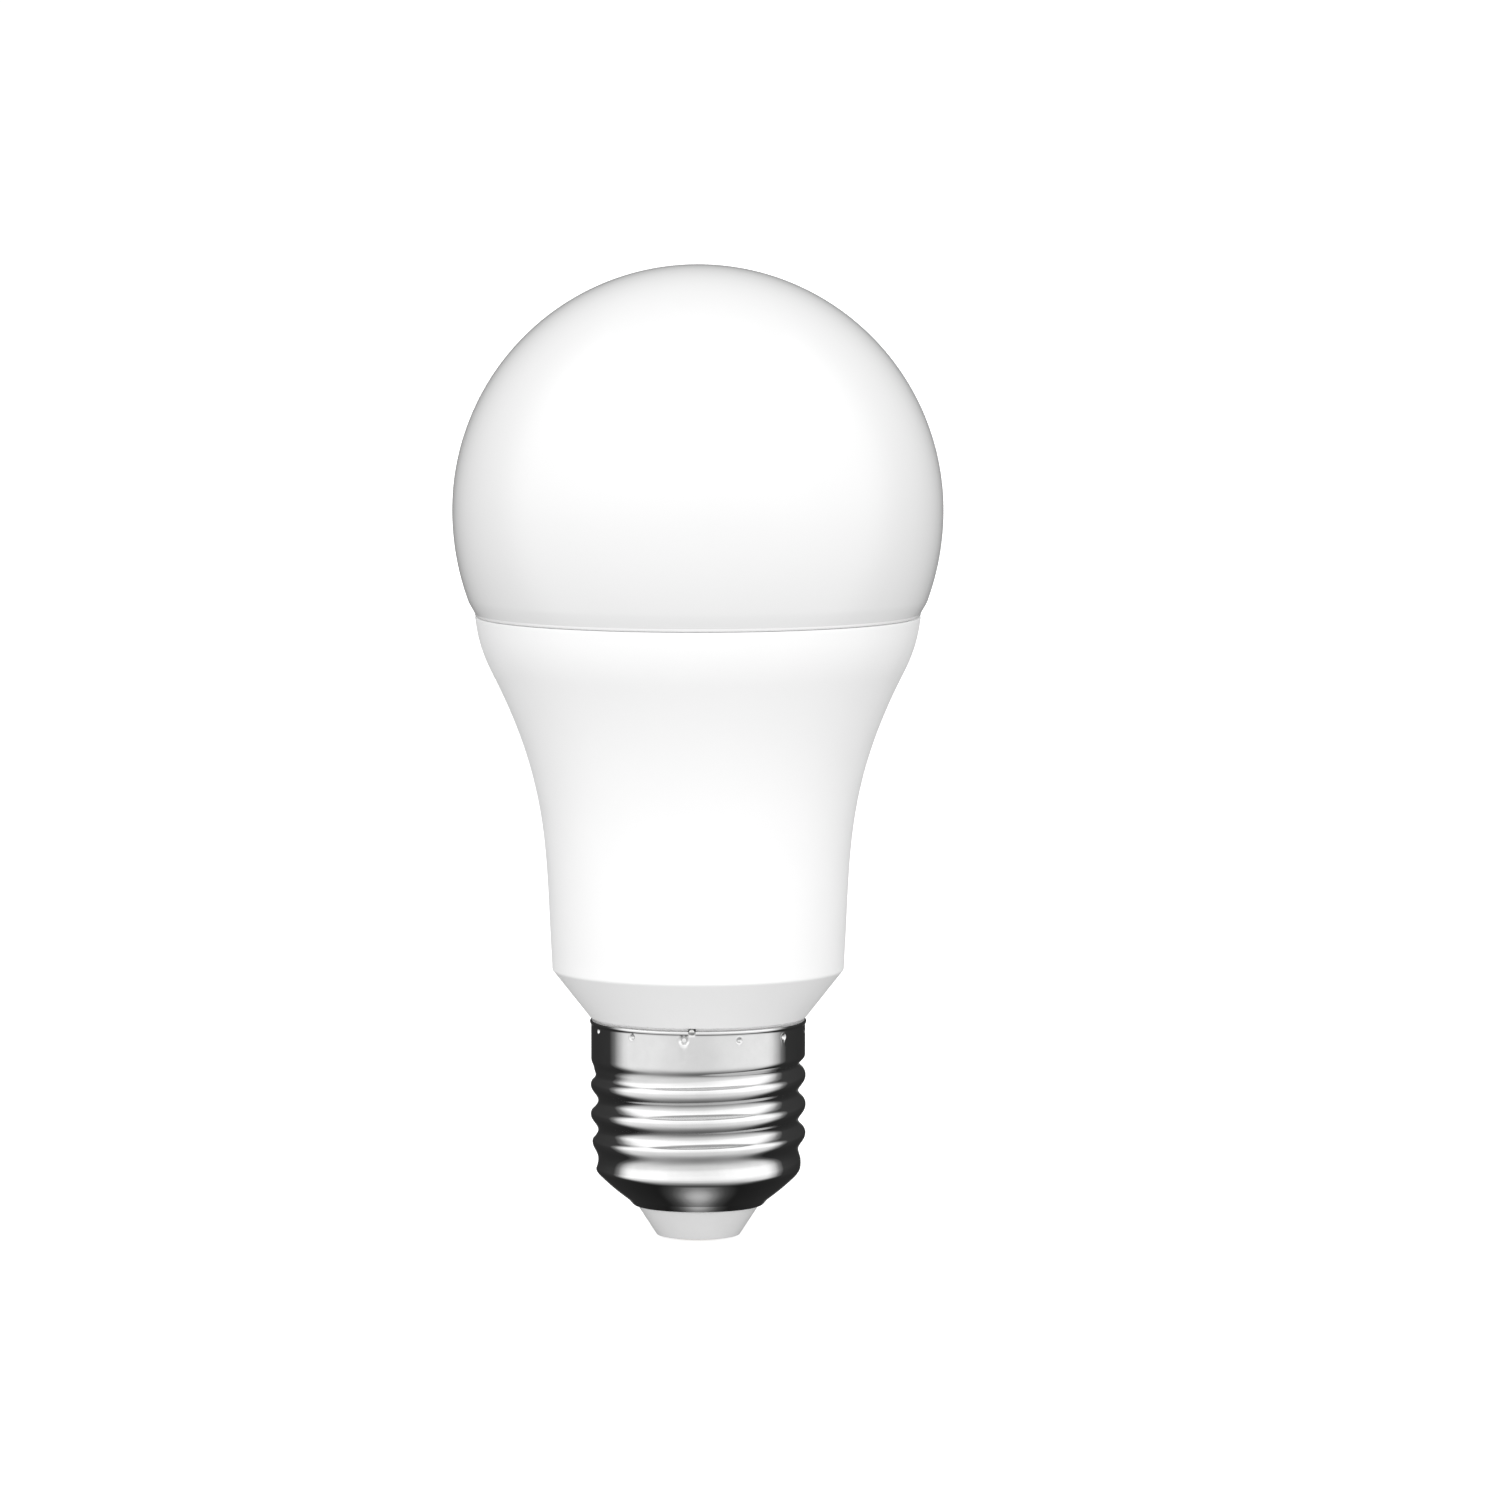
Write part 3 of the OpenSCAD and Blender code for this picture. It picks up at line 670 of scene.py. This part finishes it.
def make_pins():
    """Square pins with tapered tips: the LED board's supply, and the wireless board's header."""
    width, tip = 0.64, 0.3
    square = [(1, 1), (-1, 1), (-1, -1), (1, -1)]
    supply_low, supply_high = limits("supply_pins")[1:]
    header_front, header_back = BOARD_BACK, limits_along("wireless_pins", 1)[1]
    sets = {
        "supply_pins": [(Matrix.Translation((x, BOARD_FRONT - width / 2, 0)), supply_low, supply_high)
                        for x in (-9.6, -7.06, -4.52)],
        "wireless_pins": [(Matrix.Translation((2.54 * i, 0, 60)) @ Matrix.Rotation(-math.pi / 2, 4, "X"),
                           header_front, header_back) for i in range(-2, 3)],
    }
    for node, pins in sets.items():
        bm = bmesh.new()
        for matrix, low, high in pins:
            ends = [(0.55, low), (1, low + tip), (1, high - tip), (0.55, high)]
            add_rings(bm, [[(x * width / 2 * k, y * width / 2 * k, z) for x, y in square]
                           for k, z in ends], matrix)
        build(node + "_pointed", bm, [GOLD], "pin_metal", node)


def make_capacitors():
    """Electrolytic cans in their sleeves, with a crimp at the foot and a bare top."""
    cans = {"input_capacitor": (-6.2, 36.5, 5.0, 16.0), "output_capacitor": (-9.4, 54.0, 4.0, 11.0)}
    for node, (x, low, r, height) in cans.items():
        matrix = Matrix.Translation((x, BOARD_FRONT - r - 0.2, low))
        crimp = 1.6
        sleeve = ([(r - 0.5, 0)] + arc(r - 0.3, 0.3, 0.3, -90, 0, 4)
                  + [(r, crimp - 0.6), (r - 0.12, crimp - 0.35), (r - 0.32, crimp),
                     (r - 0.12, crimp + 0.35), (r, crimp + 0.6)]
                  + arc(r - 0.5, height - 0.5, 0.5, 0, 80, 6) + [(r - 0.9, height - 0.02)])
        top = [(r - 0.95, height - 0.3), (r - 0.95, height - 0.06), (r - 1.1, height - 0.05),
               (r * 0.35, height - 0.09)]
        bm = bmesh.new()
        add_turned(bm, sleeve, matrix, 0, 64)
        add_turned(bm, [(a, z + 0.05) for a, z in top], matrix, 1, 64)
        build(node + "_can", bm, [SLEEVE, CAN_TOP], "capacitor_can", node)

    bm = bmesh.new()
    add_block(bm, (1.2, BOARD_FRONT - 5, 34.6), (11.2, BOARD_FRONT, 41.6), 0.45)
    build("film_capacitor_box", bm, [FILM_BOX], "film_box", "film_capacitor")


def make_windings():
    """The choke's copper, ribbed turn by turn, and the transformer's taped winding."""
    turns, wire_r = 14, 0.21
    inner_r, outer_r = 2.05, 3.4
    bobbin = Matrix.Translation((7.5, BOARD_FRONT - 1.45, 47.5)) @ Matrix.Rotation(math.pi / 2, 4, "X")
    outline = []
    for k in range(turns):
        outline += arc(outer_r, 0.25 + 0.43 * k, wire_r, -80, 80, 6)
    bm = bmesh.new()
    rings = turned_rings([(inner_r, 0.03)] + outline + [(inner_r, 6.07)], 64)
    add_rings(bm, rings, bobbin, closed=True)
    build("choke_copper", bm, [ENAMEL], "copper_winding", "choke_winding")

    bm = bmesh.new()
    core = Matrix.Translation((4, BOARD_FRONT - 5.4, 60.5))
    layers = [(0, -3.6), (0.06, -3.55), (0.1, -1.2), (0.0, -1.15), (0.0, 1.15), (0.1, 1.2),
              (0.06, 3.55), (0, 3.6)]
    rings = [[(x, y, z) for x, y in round_corners(8.0 + g * 2, 10.0 + g * 2, 1.3, 6)]
             for g, z in layers]
    rings += [[(x, y, z) for x, y in round_corners(4.3, 7.1, 0.2, 6)] for z in (3.6, -3.6)]
    add_rings(bm, rings, core, closed=True)
    build("transformer_tape", bm, [TAPE], "winding_tape", "transformer_winding")


def make_mains_parts():
    """The fusible resistor with its bands, and the varistor's dipped disc."""
    r, half = 1.4, 3.6
    bm = bmesh.new()
    matrix = Matrix.Translation((-5.5, BOARD_FRONT - r - 0.1, 24.5))
    shape = [(0.4, -half)] + arc(r - 0.5, -half + 0.5, 0.5, -70, 0, 4)
    shape += [(r, -half + 1.3), (r - 0.12, -half + 1.8), (r - 0.12, half - 1.8), (r, half - 1.3)]
    shape += arc(r - 0.5, half - 0.5, 0.5, 0, 70, 4) + [(0.4, half)]
    add_turned(bm, shape, matrix)
    for material, z, band_r in ((1, -2.6, r), (1, -0.9, r - 0.12), (1, 0.3, r - 0.12), (2, 2.6, r)):
        band = [(band_r - 0.2, z - 0.3), (band_r + 0.015, z - 0.27), (band_r + 0.015, z + 0.27),
                (band_r - 0.2, z + 0.3)]
        add_turned(bm, band, matrix, material)
    build("fusible_resistor_body", bm, [LACQUER, BAND_BLACK, BAND_GOLD], "resistor_body",
          "fusible_resistor")

    bm = bmesh.new()
    matrix = Matrix.Translation((4.6, BOARD_FRONT - 0.1, 24)) @ Matrix.Rotation(math.pi / 2, 4, "X")
    disc = [(1.2, 0.06)] + arc(2.5, 0.9, 0.9, -80, 0, 5) + arc(2.5, 2.1, 0.9, 0, 80, 5) + [(1.2, 2.94)]
    add_turned(bm, [(a * 3.5 / 3.4, z) for a, z in disc], matrix, 0, 64)
    build("varistor_disc", bm, [BLUE_EPOXY], "varistor_blue", "varistor")


def make_packages():
    """The packages and chips on the driver board's back. Each row is x, z, its sizes and legs."""
    packages = {
        "bridge_rectifier": [(0, 24, 4.8, 4, 2.4, (2, 2))],
        "driver_chip": [(0, 45, 4.9, 3.9, 1.5, (4, 4))],
        "dimming_transistors": [(x, 63.5, 4.5, 2.5, 1.5, (3, 1)) for x in (-10, 10)],
        "voltage_regulator": [(8, 53, 3, 1.6, 1.1, (2, 1))],
    }
    for node, rows in packages.items():
        bm = bmesh.new()
        for row in rows:
            add_package(bm, *row)
        build(node + "_package", bm, [MOULDED_BLACK, TIN], "chip_black", node)

    bm = bmesh.new()
    for k in range(6):
        for z in (38.5, 49.5):
            add_chip(bm, -7.2 + 3.2 * k, z, 1.6, 0.8, 0.5)
    build("chip_resistor_bodies", bm, [MOULDED_BLACK, TIN], "chip_black", "chip_resistors")

    bm = bmesh.new()
    for x in (-9, -5.5, -2, 1.5):
        for z in (53, 56):
            add_chip(bm, x, z, 2, 1.25, 0.8)
    build("chip_capacitor_bodies", bm, [CERAMIC, TIN], "chip_ceramic", "chip_capacitors")


def make_shield_can():
    """The wireless module's sheet-metal shield."""
    front = limits_along("wireless_shield_can", 1)[0]
    bm = bmesh.new()
    add_block(bm, (-5.5, front, 60.2), (5.5, front + 1.8, 70.8), 0.25)
    build("shield_can_cover", bm, [SHIELD_STEEL], "shield_metal", "wireless_shield_can")


def make_wires():
    """The insulated live wire and the bare neutral wire, which folds over the cap's rim."""
    live = smooth_path([(-2.4, 1.6, 20.5), (-2.5, 1.3, 18.5), (-2.1, 0.7, 16), (-1, 0.2, 13.6),
                        (-0.2, 0, 11.4), (0, 0, 9.6), (0, 0, 9)])
    bm = bmesh.new()
    add_tube(bm, live, [0.5] * len(live), (0, 1, 0))
    build("live_wire_lead", bm, [RED_INSULATION], "live_insulation", "live_wire")

    neutral = smooth_path([
        (0, 1.8, 20.5), (0, 1, 18.6), (0, -3.5, 17), (0, -8.2, 16), (0, -9.6, 14.4),
        (0, -9.95, 12.9), (0, -10.7, 12.4), (0, -11.2, 13), (0, -11.3, 14.5), (0, -11.3, 18),
        (0, -11.3, 21.5), (0, -11.8, 23.4), (0, -12.2, 25), (0, -12.4, 25.9), (0, -12.75, 26.45),
        (0, -13.25, 26.7), (0, -13.62, 26.5)])
    turned = Matrix.Rotation(math.radians(WIRE_ANGLE - 270), 3, "Z")
    path = [turned @ point for point in neutral]
    radii = [0.24] * (len(path) - 7) + [0.27, 0.32, 0.37, 0.38, 0.34, 0.25, 0.1]
    bm = bmesh.new()
    add_tube(bm, path, radii, turned @ Vector((1, 0, 0)))
    build("neutral_wire_lead", bm, [TIN], "tinned_wire", "neutral_wire")


# Camera, floor and light

def make_camera():
    """A long lens a metre away and a little above the bulb, which stands left of its centre."""
    off_centre = 6.36
    distance = 1050
    height = 153.7
    aim_height = 59.8
    data = bpy.data.cameras.new("camera")
    data.sensor_width = 36
    data.lens = 206.7
    camera = bpy.data.objects.new("camera", data)
    bpy.context.collection.objects.link(camera)
    camera.location = Vector((off_centre, -distance, height)) * MM
    towards = Vector((off_centre, 0, aim_height)) * MM - camera.location
    camera.rotation_euler = towards.to_track_quat("-Z", "Y").to_euler()
    data.clip_end = 50
    bpy.context.scene.camera = camera


def make_floor():
    """A wide pale floor just under the tip. It stays out of reflections, like a studio's sweep."""
    gap = 0.3
    half_width = 5000
    bm = bmesh.new()
    bmesh.ops.create_grid(bm, x_segments=8, y_segments=8, size=half_width)
    bmesh.ops.translate(bm, verts=bm.verts, vec=(0, 0, -gap))
    floor = finish_mesh("studio_floor", bm)
    material = bpy.data.materials.new("pale_floor")
    material.use_nodes = True
    shader = material.node_tree.nodes["Principled BSDF"]
    shader.inputs["Base Color"].default_value = (0.8, 0.8, 0.8, 1)
    shader.inputs["Roughness"].default_value = 0.9
    shader.inputs["Specular IOR Level"].default_value = 0.0
    shader.inputs["Emission Color"].default_value = (1, 1, 1, 1)
    shader.inputs["Emission Strength"].default_value = 0.6
    floor.data.materials.append(material)
    floor.visible_glossy = False
    floor.visible_diffuse = False
    floor.visible_shadow = False


def make_studio_light():
    """A white light tent: bright in front, falling off below, dark behind and straight above.

    Reflections see the tent and a soft pale patch of the floor in front. Matt surfaces are lit
    by a softer room, which reaches round the back. The camera sees plain white behind the bulb.
    """
    reflected_strength, diffused_strength, white_level = 1.6, 1.46, 1.05
    world = bpy.data.worlds.new("studio")
    bpy.context.scene.world = world
    world.use_nodes = True
    tree = world.node_tree
    tree.nodes.clear()
    direction = tree.nodes.new("ShaderNodeTexCoord").outputs["Generated"]

    def facing(axis):
        """How far a direction points along an axis, from -1 to 1."""
        dot = tree.nodes.new("ShaderNodeVectorMath")
        dot.operation = "DOT_PRODUCT"
        dot.inputs[1].default_value = Vector(axis).normalized()
        tree.links.new(direction, dot.inputs[0])
        return dot.outputs["Value"]

    def ramp(value, stops):
        """Brightness against a value from -1 to 1, through (value, brightness) stops."""
        spread = node_of(tree, "ShaderNodeMapRange", From_Min=-1.0, From_Max=1.0)
        colours = tree.nodes.new("ShaderNodeValToRGB")
        elements = colours.color_ramp.elements
        while len(elements) < len(stops):
            elements.new(0.5)
        for element, (at, level) in zip(elements, stops):
            element.position = (at + 1) / 2
            element.color = (level, level, level, 1)
        tree.links.new(value, spread.inputs["Value"])
        tree.links.new(spread.outputs["Result"], colours.inputs["Fac"])
        return colours.outputs["Color"]

    def combine(operation, a, b):
        mix = tree.nodes.new("ShaderNodeMath")
        mix.operation = operation
        tree.links.new(a, mix.inputs[0])
        tree.links.new(b, mix.inputs[1])
        return mix.outputs["Value"]

    def background(brightness, strength):
        shader = node_of(tree, "ShaderNodeBackground", Strength=strength)
        tree.links.new(brightness, shader.inputs["Color"])
        return shader.outputs["Background"]

    def choose(ray, otherwise, shader):
        """A shader for one kind of ray, and another one for the rest."""
        mix = tree.nodes.new("ShaderNodeMixShader")
        tree.links.new(path.outputs[ray], mix.inputs["Fac"])
        tree.links.new(otherwise, mix.inputs[1])
        tree.links.new(shader, mix.inputs[2])
        return mix.outputs["Shader"]

    path = tree.nodes.new("ShaderNodeLightPath")
    height = ramp(facing((0, 0, 1)), [
        (-1, 0.11), (-0.96, 0.18), (-0.9, 0.27), (-0.8, 0.38), (-0.57, 0.56), (-0.26, 0.7),
        (-0.087, 0.76), (0.05, 0.9), (0.2, 1), (0.84, 1), (0.88, 0.35), (1, 0.3)])
    tent = ramp(facing((0, -1, 0.15)), [
        (-1, 0.2), (-0.985, 0.1), (-0.96, 0.03), (-0.36, 0.04), (-0.22, 0.2), (-0.12, 0.5),
        (0.03, 0.88), (0.14, 1.0), (0.7, 1.0), (0.9, 0.9), (1, 0.82)])
    floor_patch = ramp(facing((0, 0.28, -0.96)), [
        (-1, 0), (0.95, 0), (0.975, 0.03), (0.99, 0.12), (0.997, 0.32), (1, 0.4)])
    matt_height = ramp(facing((0, 0, 1)), [
        (-1, 0.2), (-0.8, 0.5), (-0.57, 0.66), (-0.26, 0.74), (0, 0.84), (0.2, 1.0), (1, 1.0)])
    room = ramp(facing((0, -1, 0.1)), [
        (-1, 0.75), (-0.6, 0.6), (-0.3, 0.5), (-0.1, 0.7), (0.15, 1), (1, 1)])

    brightness = combine("ADD", combine("MULTIPLY", tent, height), floor_patch)
    reflected = background(brightness, reflected_strength)
    diffused = background(combine("MULTIPLY", room, matt_height), diffused_strength)
    white = node_of(tree, "ShaderNodeBackground", Color=(1, 1, 1, 1), Strength=white_level)
    light = choose("Is Diffuse Ray", reflected, diffused)
    light = choose("Is Camera Ray", light, white.outputs["Background"])
    output = tree.nodes.new("ShaderNodeOutputWorld")
    tree.links.new(light, output.inputs["Surface"])
    bpy.context.scene.view_settings.view_transform = "Standard"


make_camera()
make_floor()
make_studio_light()
make_diffuser()
make_sealing_bead()
make_housing()
make_screw_shell()
make_cap_insulator()
make_centre_contact()
make_board_guides()
make_leds("warm_led_packages", "warm_white_leds", "warm_phosphor", WARM_RING_R, 15.0, WARM_PHOSPHOR)
make_leds("cool_led_packages", "cool_white_leds", "cool_phosphor", COOL_RING_R, 0.0, COOL_PHOSPHOR)
make_pins()
make_capacitors()
make_windings()
make_mains_parts()
make_packages()
make_shield_can()
make_wires()
dress_carried_nodes()
